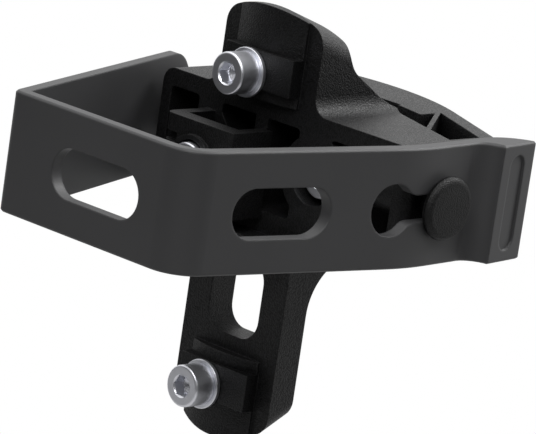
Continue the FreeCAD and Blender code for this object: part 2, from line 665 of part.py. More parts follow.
# Hollows in the crossbar's top, either side of the leaning stay.
small_well = outline("small_well", "up", [
    ("well_left", "beam_back - (well_left - arm_right) * beam_slope"),
    ("stay_left", "stay_left_y"),
    ("well_step", "stay_left_y + (stay_left - well_step) / stay_run"),
    ("well_step", "well_step_y"),
    ("well_left", "channel_depth"),
], "bar_bottom + well_floor")
large_well = outline("large_well", "up", [
    ("stay_right", "stay_right_y"),
    ("well_right", "beam_back - (well_right - arm_right) * beam_slope"),
    ("well_right", "rim_line - well_right * flank_slope"),
    ("stay_tip_x", "rim_line - stay_tip_x * flank_slope"),
], "bar_bottom + well_floor")
wells = fuse(
    "wells",
    extrude("small_well_cut", small_well, (0, 0, 1), "bar_height"),
    extrude("large_well_cut", large_well, (0, 0, 1), "bar_height"))

# Channel for the frame behind the arms, the hollow behind it, and the strap's cavity and slot.
channel = cut(
    "channel",
    box("channel_hollow", "arm_left + channel_wall", 0, "arm_bottom - arm_gauge",
        "arm_right - channel_wall", "channel_depth", "bar_top + flare_rise"),
    box("channel_bridge", "arm_left", -1, "bar_bottom", "arm_right", "channel_front", "bar_top"))
core_plan = outline("core_plan", "up", [
    ("-core_half", "core_front"),
    ("core_half", "core_front"),
    ("core_half", "core_side", "core_back_radius", 1),
    ("-core_half", "core_side"),
], "bar_bottom - 1")
core = extrude("core", core_plan, (0, 0, 1), "bar_height - cavity_roof + 1")
cavity = box("cavity", "first_pocket_left", "cavity_front", "bar_bottom - 1",
             "first_pocket_left + cavity_width", "cavity_front + cavity_length",
             "bar_top - cavity_roof")
window = box("window", "bar_left - 1", "tongue_y - window_half", "bar_bottom - 1",
             "first_pocket_left + 1", "tongue_y + window_half",
             "strap_middle + tongue_height / 2 + contact_gap")

# Slot of the lower arm, slots through the seats, and the holes of the bar screws and the post.
arm_slot = extrude(
    "arm_slot",
    outline("arm_slot_outline", "front", rounded(
        "arm_middle - arm_slot_width / 2", "arm_slot_bottom",
        "arm_middle + arm_slot_width / 2", "arm_slot_top", "arm_slot_corner"), "arm_front - 1"),
    (0, 1, 0), "arm_gauge + 2")


def seat_slot(name, height):
    """The slot through a seat, wider than its screw so that the screw can be set to the frame."""
    half = "(screw_thread / 2 + hole_play)"
    corners = oblong("arm_middle - seat_opening / 2", f"{height} - {half}",
                     "arm_middle + seat_opening / 2", f"{height} + {half}")
    return extrude(name, outline(f"{name}_outline", "front", corners, "seat_front - 1"),
                   (0, 1, 0), "arm_gauge + seat_rise + 2")


holes = fuse(
    "holes",
    rod("left_counterbore", "y", "left_screw_x", "ring_front - 1", "left_screw_z",
        "counterbore / 2", "left_screw_sink + 1"),
    rod("left_bore", "y", "left_screw_x", "ring_front", "left_screw_z",
        "screw_thread / 2", "left_screw_sink + bar_screw_length + 1.5"),
    rod("right_counterbore_cut", "y", "right_screw_x", "arm_front - 1", "right_screw_z",
        "right_counterbore / 2", "right_screw_sink + 1"),
    rod("right_bore", "y", "right_screw_x", "arm_front", "right_screw_z",
        "screw_thread / 2", "right_screw_sink + bar_screw_length + 1.5"),
    rod("post_bore", "x", "bar_right - spigot_length", "button_y", "keyhole_z",
        "post_width / 2", "spigot_length + 1"))
base_cuts = fuse(
    "base_cuts", pockets, block_pocket, notch, wells, channel, core, cavity, window, arm_slot,
    seat_slot("upper_slot", "boss_pitch / 2"), seat_slot("lower_slot", "-boss_pitch / 2"), holes)
bracket_base = cut("bracket_base", solid_base, base_cuts)

# Strap: one closed ribbon from the bead behind the left end, round the front, to the pull tab.
strap = doc.addObject("PartDesign::Body", "lock_strap_ribbon")


def plane(body, role):
    """One of the body's own base planes."""
    return next(f for f in body.Origin.OriginFeatures if f.Role == role)


ribbon = strap.newObject("Sketcher::SketchObject", "ribbon_plan")
ribbon.AttachmentSupport = (plane(strap, "XY_Plane"), [""])
ribbon.MapMode = "FlatFace"
ribbon.setExpression("AttachmentOffset.Base.z", bound("strap_bottom"))
outside = [
    ("bead_x", "tongue_back"),
    ("bend_x", "tongue_back", "tongue_bend + strap_gauge", 1),
    ("bend_outer_x", "bend_outer_y"),
    ("left_outer_x - left_leg * left_sin", "strap_front + left_leg * left_cos",
     "strap_left_round", 1),
    ("left_outer_x + left_leg", "strap_front"),
    ("right_corner_x - right_leg", "strap_front", "strap_right_round", 1),
    ("right_corner_x + right_leg * right_sin", "strap_front + right_leg * right_cos"),
    ("tuck_start_x", "tuck_start_y", "strap_tuck_radius", 1),
    ("tuck_end_x", "tuck_end_y"),
    ("root_x", "tab_root", "tab_flare", -1),
    ("tab_ridge_x", "tab_ridge_y"),
    ("tab_back_x", "tab_back_y", "tab_back_radius", 1),
]
inside = [
    ("tab_inner_x", "tab_inner_y"),
    ("tuck_end_x - strap_gauge * tuck_cos", "tuck_end_y - strap_gauge * tuck_sin",
     "strap_tuck_radius - strap_gauge", -1),
    ("tuck_start_x - strap_gauge * right_cos", "tuck_start_y + strap_gauge * right_sin"),
    ("right_inner_corner_x + right_inner_leg * right_sin",
     "strap_inner_front + right_inner_leg * right_cos", "strap_right_round - strap_gauge", -1),
    ("right_inner_corner_x - right_inner_leg", "strap_inner_front"),
    ("left_inner_x", "strap_inner_front"),
    ("bend_inner_x", "bend_inner_y", "tongue_bend", -1),
    ("bend_x", "tongue_front"),
    ("bead_x", "tongue_front"),
]
draw(ribbon, outside + inside)
pad = strap.newObject("PartDesign::Pad", "ribbon_pad")
pad.Profile = ribbon
drive(pad, Length="strap_height")
doc.recompute()


def level_edges(feature, lines, slack):
    """The upper and lower edges of a feature that lie over the middles of outline lines."""
    found = []
    for index, edge in enumerate(feature.Shape.Edges, start=1):
        spot = edge.valueAt((edge.FirstParameter + edge.LastParameter) / 2)
        heights = (feature.Shape.BoundBox.ZMin, feature.Shape.BoundBox.ZMax)
        if edge.BoundBox.ZLength > slack or min(abs(spot.z - h) for h in heights) > slack:
            continue
        for line in lines:
            curve = ribbon.Geometry[line]
            middle = curve.value((curve.FirstParameter + curve.LastParameter) / 2)
            if abs(spot.x - middle.x) < slack and abs(spot.y - middle.y) < slack:
                found.append(f"Edge{index}")
    return found


# Bevels along the strap's outside, then along the tab's outer face.
first_line = 2
tab_line = len(outside) - 2
soft = strap.newObject("PartDesign::Chamfer", "ribbon_edges")
soft.Base = (pad, level_edges(pad, range(first_line, tab_line), 0.01))
drive(soft, Size="strap_edge")
doc.recompute()
tab_soft = strap.newObject("PartDesign::Chamfer", "tab_edges")
tab_soft.Base = (soft, level_edges(soft, [tab_line], 0.6))
drive(tab_soft, Size="tab_edge")
strap.Tip = tab_soft
doc.recompute()


def shoulder(name, sign):
    """What is taken off above or below the tongue."""
    edge = f"strap_middle + {sign} * strap_height / 2"
    inner = f"strap_middle + {sign} * tongue_height / 2"
    side = outline(name, "right", [
        ("shoulder_y", edge, "shoulder_round", -sign),
        ("shoulder_y + shoulder_run", inner),
        ("tongue_back + 1", inner),
        ("tongue_back + 1", f"{edge} + {sign}"),
        ("shoulder_y", f"{edge} + {sign}"),
    ], "bend_outer_x - 1")
    return extrude(f"{name}_cut", side, (1, 0, 0), "bead_x + bead_width - bend_outer_x")


front_slot = extrude(
    "front_slot",
    outline("front_slot_outline", "front", oblong(
        "front_slot_left", "keyhole_z - slot_height / 2",
        "front_slot_left + front_slot_length", "keyhole_z + slot_height / 2"),
        "strap_front - 1"),
    (0, 1, 0), "strap_gauge + 2")
side_slot = extrude(
    "side_slot",
    outline("side_slot_outline", "right", oblong(
        "strap_front + side_slot_start * right_cos", "keyhole_z - slot_height / 2",
        "strap_front + (side_slot_start + side_slot_length) * right_cos",
        "keyhole_z + slot_height / 2"), "arm_right"),
    (1, 0, 0), "arm_width + arm_right")
keyhole = extrude(
    "keyhole",
    outline("keyhole_outline", "right", [
        ("keyhole_y + blend_run", "keyhole_z - keyhole_slot / 2"),
        ("button_y", "keyhole_z - keyhole_slot / 2", "keyhole_slot / 2", 1),
        ("button_y + keyhole_slot / 2", "keyhole_z", "keyhole_slot / 2", 1),
        ("button_y", "keyhole_z + keyhole_slot / 2"),
        ("keyhole_y + blend_run", "keyhole_z + keyhole_slot / 2", "keyhole_blend", -1),
        ("keyhole_y + blend_run * blend_part",
         "keyhole_z + (keyhole_slot / 2 + keyhole_blend) * blend_part", "keyhole_width / 2", 1),
        ("keyhole_y - keyhole_width / 2", "keyhole_z", "keyhole_width / 2", 1),
        ("keyhole_y + blend_run * blend_part",
         "keyhole_z - (keyhole_slot / 2 + keyhole_blend) * blend_part", "keyhole_blend", -1),
    ], "arm_right"),
    (1, 0, 0), "arm_width + arm_right")

# Plain recess in the pull tab: a pill turned to the slope of the tab's face.
recess = fuse(
    "recess",
    box("recess_middle", "-recess_depth", "-recess_width / 2",
        "-(recess_length - recess_width) / 2", 1, "recess_width / 2",
        "(recess_length - recess_width) / 2"),
    rod("recess_top", "x", "-recess_depth", 0, "(recess_length - recess_width) / 2",
        "recess_width / 2", "recess_depth + 1"),
    rod("recess_foot", "x", "-recess_depth", 0, "-(recess_length - recess_width) / 2",
        "recess_width / 2", "recess_depth + 1"))
recess.Placement = FreeCAD.Placement(FreeCAD.Vector(), FreeCAD.Rotation(ALONG["z"].Axis, 10))
place(recess, "(tab_ridge_x + tab_back_x) / 2", "(tab_ridge_y + tab_back_y) / 2", "strap_middle")
recess.setExpression("Placement.Rotation.Angle", bound("tab_lean"))
bead = rod("bead", "z", "bead_x", "tongue_y", "strap_middle - tongue_height / 2",
           "bead_width / 2", "tongue_height")
strap_cuts = fuse("strap_cuts", shoulder("upper_shoulder", 1), shoulder("lower_shoulder", -1),
                  front_slot, side_slot, keyhole, recess)
lock_strap = fuse("lock_strap", cut("strap_body", strap, strap_cuts), bead)


# Button: a turned post with a broad head, pressed into the end of the crossbar.

def turned(name, corners):
    """A solid turned about the upright axis from half of its section."""
    half = outline(f"{name}_section", "front", corners)
    solid = doc.addObject("Part::Revolution", name)
    solid.Source = half
    solid.Axis = FreeCAD.Vector(0, 0, 1)
    solid.Base = FreeCAD.Vector()
    solid.Angle = 360
    solid.Solid = True
    return solid


strap_button = turned("strap_button", [
    (0, "-(strap_outside + button_lift - bar_right + spigot_length)"),
    ("post_width / 2", "-(strap_outside + button_lift - bar_right + spigot_length)"),
    ("post_width / 2", 0),
    ("button_width / 2", 0),
    ("button_width / 2", "button_crown - button_round"),
    ("button_width / 2 - button_round * (1 - cos(30))", "button_crown - button_round / 2"),
    ("button_width / 2 - button_round / 2", "button_crown - button_round * (1 - cos(30))"),
    ("button_width / 2 - button_round", "button_crown"),
    (0, "button_crown"),
])
strap_button.Placement = FreeCAD.Placement(FreeCAD.Vector(), ALONG["x"])
place(strap_button, "strap_outside + button_lift", "button_y", "keyhole_z")


def screw(name, length, x, y, z, neck=()):
    """A socket head screw, its head towards the lock and its seat at the given place."""
    plain = turned(f"{name}_turned", [
        (0, f"-{length}"),
        ("screw_thread / 2 - screw_edge", f"-{length}"),
        ("screw_thread / 2", f"screw_edge - {length}"),
        *(neck or [("screw_thread / 2", 0)]),
        ("screw_head / 2", 0),
        ("screw_head / 2", "screw_head_height - screw_edge"),
        ("screw_head / 2 - screw_edge", "screw_head_height"),
        (0, "screw_head_height"),
    ])
    half, point = "screw_key / 2", "screw_key / 2 / cos(30)"
    key = outline(f"{name}_key", "up", [
        (f"-{point}", 0),
        (f"-{point} / 2", f"-{half}"),
        (f"{point} / 2", f"-{half}"),
        (point, 0),
        (f"{point} / 2", half),
        (f"-{point} / 2", half),
    ], "screw_head_height - screw_key_depth")
    socket = extrude(f"{name}_socket", key, (0, 0, 1), "screw_head_height")
    solid = cut(name, plain, socket)
    solid.Placement = FreeCAD.Placement(FreeCAD.Vector(), FACING["front"])
    place(solid, x, y, z)
    return solid


def washer(name, z):
    """A flat washer between a boss screw's head and its saddle plate."""
    ring = cut(name,
               rod(f"{name}_disc", "y", 0, "washer_front", z, "washer_width / 2", "washer_gauge"),
               rod(f"{name}_hole", "y", 0, "washer_front - 1", z,
                   "screw_thread / 2 + hole_play", "washer_gauge + 2"))
    return ring


def saddle_plate(name, screw_z, middle):
    """A plate flat in front and hollow behind, lying round the seat of its arm."""
    blank = box(f"{name}_blank", "arm_middle - plate_width / 2", "plate_front",
                f"{middle} - plate_height / 2", "arm_middle + plate_width / 2",
                "arm_front - contact_gap", f"{middle} + plate_height / 2")
    hollow = rod(f"{name}_hollow", "z", "arm_middle", "seat_axis",
                 f"{middle} - plate_height", "seat_radius", "2 * plate_height")
    hole = rod(f"{name}_hole", "y", 0, "plate_front - 1", screw_z,
               "screw_thread / 2 + hole_play", "arm_gauge")
    return cut(name, blank, fuse(f"{name}_cuts", hollow, hole))


# A boss screw's thread starts at the bosses; between them and the head it has a thinner neck.
boss_neck = [
    ("screw_thread / 2", "washer_front"),
    ("screw_neck / 2", "washer_front + (screw_thread - screw_neck) / 2"),
    ("screw_neck / 2", 0),
]
NODES = {
    "bracket_base": bracket_base,
    "lock_strap": lock_strap,
    "strap_button": strap_button,
    "boss_screw_upper": screw(
        "boss_screw_upper", "boss_screw_length", 0, "washer_front", "boss_pitch / 2", boss_neck),
    "boss_screw_lower": screw(
        "boss_screw_lower", "boss_screw_length", 0, "washer_front", "-boss_pitch / 2", boss_neck),
    "bar_screw_left": screw(
        "bar_screw_left", "bar_screw_length", "left_screw_x", "left_screw_seat", "left_screw_z"),
    "bar_screw_right": screw(
        "bar_screw_right", "bar_screw_length", "right_screw_x", "right_screw_seat",
        "right_screw_z"),
    "boss_washer_upper": washer("boss_washer_upper", "boss_pitch / 2"),
    "boss_washer_lower": washer("boss_washer_lower", "-boss_pitch / 2"),
    "saddle_plate_upper": saddle_plate(
        "saddle_plate_upper", "boss_pitch / 2", "(boss_pitch / 2 + plate_lift)"),
    "saddle_plate_lower": saddle_plate(
        "saddle_plate_lower", "-boss_pitch / 2", "(plate_lift - boss_pitch / 2)"),
}

doc.removeObject("Probe")
doc.recompute()
for item in doc.Objects:
    if "Invalid" in item.State or "Error" in item.State:
        raise RuntimeError(f"{item.Label}: {item.State}")
for name, node in NODES.items():
    shape = node.Shape
    if shape.isNull() or not shape.isValid() or len(shape.Solids) != 1:
        raise RuntimeError(f"{name}: not one valid solid")

os.makedirs("parts", exist_ok=True)
for name, node in NODES.items():
    node.Shape.exportStep(f"parts/{name}.step")
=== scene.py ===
import math

import bpy
from mathutils import Matrix, Vector


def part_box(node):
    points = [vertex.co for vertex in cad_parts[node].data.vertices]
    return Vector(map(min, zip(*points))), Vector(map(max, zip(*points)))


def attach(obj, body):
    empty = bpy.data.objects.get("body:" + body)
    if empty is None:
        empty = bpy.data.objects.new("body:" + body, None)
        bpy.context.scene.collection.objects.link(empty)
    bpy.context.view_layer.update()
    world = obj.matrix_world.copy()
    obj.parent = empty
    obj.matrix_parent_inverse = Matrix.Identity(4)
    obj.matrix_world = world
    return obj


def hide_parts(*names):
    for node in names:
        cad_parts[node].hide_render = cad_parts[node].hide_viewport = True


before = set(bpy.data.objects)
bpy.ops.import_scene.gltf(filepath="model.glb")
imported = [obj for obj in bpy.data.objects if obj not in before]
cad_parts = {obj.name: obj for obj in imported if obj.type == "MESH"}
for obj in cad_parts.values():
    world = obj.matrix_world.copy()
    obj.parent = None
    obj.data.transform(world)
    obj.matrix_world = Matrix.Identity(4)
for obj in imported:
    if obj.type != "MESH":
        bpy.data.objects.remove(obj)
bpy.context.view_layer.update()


# Base moulding: one glass-filled nylon injection moulding with two arms, a ribbed crossbar, a
# hollow block for the left bar screw and the rounded end that the rubber hooks into.
# It comes black from the tool, with a fine spark-eroded grain all over.
MM = 0.001


def linear(code):
    """The linear colour of an sRGB hex code."""
    parts = [int(code[i:i + 2], 16) / 255 for i in (1, 3, 5)]
    return [c / 12.92 if c <= 0.04045 else ((c + 0.055) / 1.055) ** 2.4 for c in parts] + [1.0]


def add(tree, kind, settings=None, **links):
    """Add a node, set its properties, and set or link its inputs, by name or by number (_0)."""
    node = tree.nodes.new(kind)
    for name, value in (settings or {}).items():
        setattr(node, name, value)
    for name, value in links.items():
        key = int(name[1:]) if name[1:].isdigit() else name.replace("_", " ")
        if isinstance(value, bpy.types.NodeSocket):
            tree.links.new(value, node.inputs[key])
        else:
            node.inputs[key].default_value = value
    return node


def finish_of(name):
    """A new material, its tree and its shader."""
    material = bpy.data.materials.new(name)
    material.use_nodes = True
    tree = material.node_tree
    return material, tree, tree.nodes["Principled BSDF"]


def span(tree, value, low, high, source=(0.0, 1.0), shape="LINEAR"):
    """The output of a Map Range node that carries a value from one span to another."""
    node = add(tree, "ShaderNodeMapRange", {"interpolation_type": shape}, Value=value)
    node.inputs["From Min"].default_value, node.inputs["From Max"].default_value = source
    node.inputs["To Min"].default_value, node.inputs["To Max"].default_value = low, high
    return node.outputs["Result"]


def grained(name, dark, light, grain_mm, depth_mm, rough, edge_mm):
    """Spark-eroded plastic: grains in colour, gloss and height, and softened edges."""
    crest_gloss = 0.14
    patch_gloss = 0.05
    material, tree, shader = finish_of(name)
    place = add(tree, "ShaderNodeTexCoord").outputs["Object"]
    grain = add(tree, "ShaderNodeTexNoise", None, Vector=place, Scale=1 / (grain_mm * MM),
                Detail=1.5, Roughness=0.6).outputs["Fac"]
    speck = span(tree, grain, 0.0, 1.0, source=(0.36, 0.64))
    patch = add(tree, "ShaderNodeTexNoise", None, Vector=place, Scale=60.0,
                Detail=3.0).outputs["Fac"]
    tint = add(tree, "ShaderNodeMix", {"data_type": "RGBA"}, _0=speck, _6=linear(dark),
               _7=linear(light))
    tree.links.new(tint.outputs[2], shader.inputs["Base Color"])
    gloss = add(tree, "ShaderNodeMath", {"operation": "ADD"},
                _0=span(tree, speck, rough, rough - crest_gloss),
                _1=span(tree, patch, -patch_gloss, patch_gloss))
    tree.links.new(gloss.outputs["Value"], shader.inputs["Roughness"])
    soft = add(tree, "ShaderNodeBevel", {"samples": 6}, Radius=edge_mm * MM)
    bump = add(tree, "ShaderNodeBump", None, Strength=1.0, Distance=depth_mm * MM,
               Height=speck, Normal=soft.outputs["Normal"])
    tree.links.new(bump.outputs["Normal"], shader.inputs["Normal"])
    shader.inputs["IOR"].default_value = 1.5
    shader.inputs["Specular IOR Level"].default_value = 0.25
    return material


def dress(node, material):
    """Give a CAD node's own mesh a material."""
    mesh = bpy.data.objects[node].data
    mesh.materials.clear()
    mesh.materials.append(material)


base_nylon = grained("spark_grained_black_nylon", "#000000", "#151516", grain_mm=0.32,
                     depth_mm=0.055, rough=0.52, edge_mm=0.3)
dress("bracket_base", base_nylon)


# Saddle plates: two small nylon mouldings, flat in front and hollow behind, that lie round the
# seats of the arms under the boss screws. They have the base's grain, a little finer in height,
# and crisper edges.
plate_nylon = grained("spark_grained_plate_nylon", "#000000", "#101011", grain_mm=0.32,
                      depth_mm=0.045, rough=0.5, edge_mm=0.2)
dress("saddle_plate_upper", plate_nylon)
dress("saddle_plate_lower", plate_nylon)


# Strap: one compression-moulded rubber band with oblong slots, a keyhole and a thick pull tab.
# Its mould was polished, so it is smooth, with an even satin gloss and slightly softened edges.
satin_rubber, rubber_tree, rubber = finish_of("satin_moulded_rubber")
rubber_place = add(rubber_tree, "ShaderNodeTexCoord").outputs["Object"]
rubber_cloud = add(rubber_tree, "ShaderNodeTexNoise", None, Vector=rubber_place, Scale=45.0,
                   Detail=4.0).outputs["Fac"]
rubber_skin = add(rubber_tree, "ShaderNodeTexNoise", None, Vector=rubber_place, Scale=2500.0,
                  Detail=1.0).outputs["Fac"]
rubber_tint = add(rubber_tree, "ShaderNodeMix", {"data_type": "RGBA"}, _0=rubber_cloud,
                  _6=linear("#2e2e2f"), _7=linear("#343435"))
rubber_tree.links.new(rubber_tint.outputs[2], rubber.inputs["Base Color"])
rubber_tree.links.new(span(rubber_tree, rubber_cloud, 0.46, 0.56), rubber.inputs["Roughness"])
rubber.inputs["IOR"].default_value = 1.5
rubber.inputs["Specular IOR Level"].default_value = 0.42
rubber_soft = add(rubber_tree, "ShaderNodeBevel", {"samples": 6}, Radius=0.6 * MM)
rubber_bump = add(rubber_tree, "ShaderNodeBump", None, Strength=0.3, Distance=0.01 * MM,
                  Height=rubber_skin, Normal=rubber_soft.outputs["Normal"])
rubber_tree.links.new(rubber_bump.outputs["Normal"], rubber.inputs["Normal"])
dress("lock_strap", satin_rubber)


# Button: a nylon knob with a round-edged, grained head that the strap's keyhole slips over, and a
# smooth post that is pressed into the end of the crossbar. Both are round, so one profile is
# turned round the post's axis by geometry nodes, which shape the screws and washers as well.
FACING_RIGHT = (0, math.pi / 2, 0)


def turning_tree():
    """A tree that turns a profile round an axis, cuts a thread and a hexagon socket in it."""
    weld = 0.002 * MM
    mouth_bevel = 0.4 * MM
    mouth_overlap = 0.2 * MM
    tip_width = 0.47
    tip_depth = 0.27
    tip_overlap = 0.01 * MM
    sharp_angle = math.radians(35)

    tree = bpy.data.node_groups.new("turned_piece", "GeometryNodeTree")
    kinds = {"Profile": "Geometry", "Segments": "Int", "Place": "Vector", "Turn": "Vector",
             "Pitch": "Float", "Thread Start": "Float", "Thread End": "Float",
             "Thread Depth": "Float", "Key Width": "Float", "Key Depth": "Float",
             "Finish": "Material"}
    for label, kind in kinds.items():
        tree.interface.new_socket(label, in_out="INPUT", socket_type=f"NodeSocket{kind}")
    tree.interface.new_socket("Piece", in_out="OUTPUT", socket_type="NodeSocketGeometry")
    given = add(tree, "NodeGroupInput").outputs

    def worked(operation, first, second=0.0, third=0.0):
        """One step of arithmetic."""
        return add(tree, "ShaderNodeMath", {"operation": operation}, _0=first, _1=second,
                   _2=third).outputs[0]

    # A flat grid has a row for each point of the profile and a column for each step of the turn.
    count = add(tree, "GeometryNodeAttributeDomainSize", {"component": "MESH"},
                _0=given["Profile"]).outputs["Point Count"]
    grid = add(tree, "GeometryNodeMeshGrid", None, Size_X=1.0, Size_Y=1.0,
               Vertices_X=worked("ADD", given["Segments"], 1), Vertices_Y=count)
    spot = add(tree, "ShaderNodeSeparateXYZ", None,
               _0=add(tree, "GeometryNodeInputPosition").outputs[0]).outputs
    share = worked("ADD", spot["X"], 0.5)
    row = worked("ROUND", worked("MULTIPLY", worked("ADD", spot["Y"], 0.5),
                                 worked("SUBTRACT", count, 1)))
    point = add(tree, "GeometryNodeSampleIndex", {"data_type": "FLOAT_VECTOR"},
                Geometry=given["Profile"],
                Value=add(tree, "GeometryNodeInputPosition").outputs[0], Index=row)
    part = add(tree, "ShaderNodeSeparateXYZ", None, _0=point.outputs[0]).outputs

    # The thread is a wave along the axis that climbs one pitch in each turn.
    wave = worked("ABSOLUTE", worked("MULTIPLY_ADD", worked("FRACT", worked(
        "SUBTRACT", worked("DIVIDE", part["Z"], given["Pitch"]), share)), 2.0, -1.0))
    inside = worked("MULTIPLY", worked("GREATER_THAN", part["Z"], given["Thread Start"]),
                    worked("LESS_THAN", part["Z"], given["Thread End"]))
    radius = worked("SUBTRACT", part["X"], worked("MULTIPLY", worked(
        "MULTIPLY", wave, inside), given["Thread Depth"]))
    angle = worked("MULTIPLY", share, math.tau)
    ring = add(tree, "ShaderNodeCombineXYZ", None,
               X=worked("MULTIPLY", radius, worked("COSINE", angle)),
               Y=worked("MULTIPLY", radius, worked("SINE", angle)), Z=part["Z"]).outputs[0]
    body = add(tree, "GeometryNodeSetPosition", None, Geometry=grid.outputs["Mesh"],
               Position=ring).outputs[0]
    body = add(tree, "GeometryNodeMergeByDistance", None, Geometry=body,
               Distance=weld).outputs[0]

    # The socket is a hexagon with a bevelled mouth and a drilled tip.
    corner = worked("DIVIDE", given["Key Width"], 2 * math.cos(math.radians(30)))
    prism = add(tree, "GeometryNodeMeshCylinder", None, Vertices=6, Radius=corner,
                Depth=worked("MULTIPLY", given["Key Depth"], 2.0)).outputs["Mesh"]
    mouth_depth = mouth_bevel + mouth_overlap
    mouth = add(tree, "GeometryNodeMeshCone", None, Vertices=48,
                Radius_Top=worked("SUBTRACT", corner, mouth_overlap),
                Radius_Bottom=worked("ADD", corner, mouth_bevel),
                Depth=mouth_depth).outputs["Mesh"]
    mouth = add(tree, "GeometryNodeTransform", None, Geometry=mouth,
                Translation=(0, 0, -mouth_depth / 2)).outputs[0]
    tip = add(tree, "GeometryNodeMeshCone", None, Vertices=24, Radius_Top=0.0,
              Radius_Bottom=worked("MULTIPLY", given["Key Width"], tip_width),
              Depth=worked("MULTIPLY", given["Key Width"], tip_depth)).outputs["Mesh"]
    tip_place = add(tree, "ShaderNodeCombineXYZ", None, Z=worked(
        "SUBTRACT", given["Key Depth"], tip_overlap)).outputs[0]
    tip = add(tree, "GeometryNodeTransform", None, Geometry=tip, Translation=tip_place).outputs[0]
    keyed = add(tree, "GeometryNodeMeshBoolean", {"operation": "DIFFERENCE", "solver": "EXACT"},
                _0=body)
    for tool in (prism, mouth, tip):
        tree.links.new(tool, keyed.inputs["Mesh 2"])
    body = add(tree, "GeometryNodeSwitch", {"input_type": "GEOMETRY"},
               Switch=worked("GREATER_THAN", given["Key Depth"], 0.0), _1=body,
               _2=keyed.outputs["Mesh"]).outputs[0]

    bend = add(tree, "GeometryNodeInputMeshEdgeAngle").outputs["Unsigned Angle"]
    body = add(tree, "GeometryNodeSetShadeSmooth", {"domain": "EDGE"}, _0=body,
               Shade_Smooth=worked("LESS_THAN", bend, sharp_angle)).outputs[0]
    lie = add(tree, "FunctionNodeEulerToRotation", None, _0=given["Turn"]).outputs[0]
    body = add(tree, "GeometryNodeTransform", None, Geometry=body,
               Translation=given["Place"], Rotation=lie).outputs[0]
    body = add(tree, "GeometryNodeRealizeInstances", None, _0=body).outputs[0]
    body = add(tree, "GeometryNodeSetMaterial", None, Geometry=body,
               Material=given["Finish"]).outputs[0]
    add(tree, "NodeGroupOutput", None, _0=body)
    return tree


turning = turning_tree()


def turned(name, profile, place, turn, finish, **sizes):
    """A mesh turned from a profile of (radius, distance along the axis), in millimetres."""
    mesh = bpy.data.meshes.new(name)
    mesh.from_pydata([(radius * MM, 0, along * MM) for radius, along in profile],
                     [(i, i + 1) for i in range(len(profile) - 1)], [])
    piece = bpy.data.objects.new(name, mesh)
    bpy.context.scene.collection.objects.link(piece)
    modifier = piece.modifiers.new("turning", "NODES")
    modifier.node_group = turning
    sockets = {item.name: item.identifier for item in turning.interface.items_tree
               if item.in_out == "INPUT"}
    values = {"Segments": 64, "Place": Vector(place), "Turn": Vector(turn), "Finish": finish,
              "Pitch": MM}
    values.update({label.replace("_", " ").title(): value * MM for label, value in sizes.items()})
    for label, value in values.items():
        modifier[sockets[label]] = value
    bpy.context.view_layer.update()
    shaped = piece.evaluated_get(bpy.context.evaluated_depsgraph_get())
    piece.data = bpy.data.meshes.new_from_object(shaped)
    piece.modifiers.clear()
    return piece


def rounding(radius, along, width, height, start, end, steps=6):
    """Points of an elliptic corner about a centre, from one angle to another, in degrees."""
    return [(radius + width * math.sin(math.radians(start + (end - start) * i / steps)),
             along - height * math.cos(math.radians(start + (end - start) * i / steps)))
            for i in range(steps + 1)]


button_low, button_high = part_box("strap_button")
button_middle = (button_low + button_high) / 2
button_length = (button_high.x - button_low.x) / MM
head_radius = (button_high.z - button_low.z) / 2 / MM
head_height = 2.4
post_radius = 2.6
post_bevel = 0.4
under_round = 1.1
rim_round = 1.3
rim_end = 176
crown_rise = 0.12
under_head = button_length - head_height
button_profile = [(0, 0), (post_radius - post_bevel, 0), (post_radius, post_bevel),
                  (post_radius, under_head),
                  *rounding(head_radius - under_round, under_head + under_round, under_round,
                            under_round, 0, 90),
                  *rounding(head_radius - rim_round, button_length - rim_round - crown_rise,
                            rim_round, rim_round, 90, rim_end),
                  (head_radius / 2, button_length - crown_rise * 0.3), (0, button_length)]
head_nylon = grained("grained_button_nylon", "#000000", "#0a0a0b", grain_mm=0.3, depth_mm=0.05,
                     rough=0.6, edge_mm=0.15)
button = turned("button", button_profile, (button_low.x, button_middle.y, button_middle.z),
                FACING_RIGHT, head_nylon)

post_nylon, post_tree, post_shader = finish_of("smooth_black_post_nylon")
post_place = add(post_tree, "ShaderNodeTexCoord").outputs["Object"]
post_marks = add(post_tree, "ShaderNodeTexNoise", None, Vector=post_place, Scale=400.0)
post_shader.inputs["Base Color"].default_value = linear("#101013")
post_tree.links.new(span(post_tree, post_marks.outputs["Fac"], 0.18, 0.3),
                    post_shader.inputs["Roughness"])
button.data.materials.append(post_nylon)
for side in button.data.polygons:
    if side.center.x < button_low.x + (under_head - 0.01) * MM:
        side.material_index = 1
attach(button, "root")
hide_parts("strap_button")


# Screws: four M5 socket head screws, cold-headed from steel, rolled to their thread and zinc
# plated. Two go through the plates into the frame's bosses, two into the crossbar.
FACING_FRAME = (-math.pi / 2, 0, 0)
zinc, zinc_tree, zinc_shader = finish_of("bright_zinc_plated_steel")
zinc_place = add(zinc_tree, "ShaderNodeTexCoord").outputs["Object"]
zinc_marks = add(zinc_tree, "ShaderNodeTexNoise", None, Vector=zinc_place, Scale=1400.0,
                 Detail=3.0).outputs["Fac"]
zinc_bloom = add(zinc_tree, "ShaderNodeTexNoise", None, Vector=zinc_place, Scale=350.0,
                 Detail=2.0).outputs["Fac"]
zinc_tint = add(zinc_tree, "ShaderNodeMix", {"data_type": "RGBA"}, _0=zinc_bloom,
                _6=linear("#cfd0d6"), _7=linear("#e2e3e8"))
zinc_tree.links.new(zinc_tint.outputs[2], zinc_shader.inputs["Base Color"])
zinc_shader.inputs["Metallic"].default_value = 1.0
zinc_tree.links.new(span(zinc_tree, zinc_marks, 0.36, 0.44), zinc_shader.inputs["Roughness"])

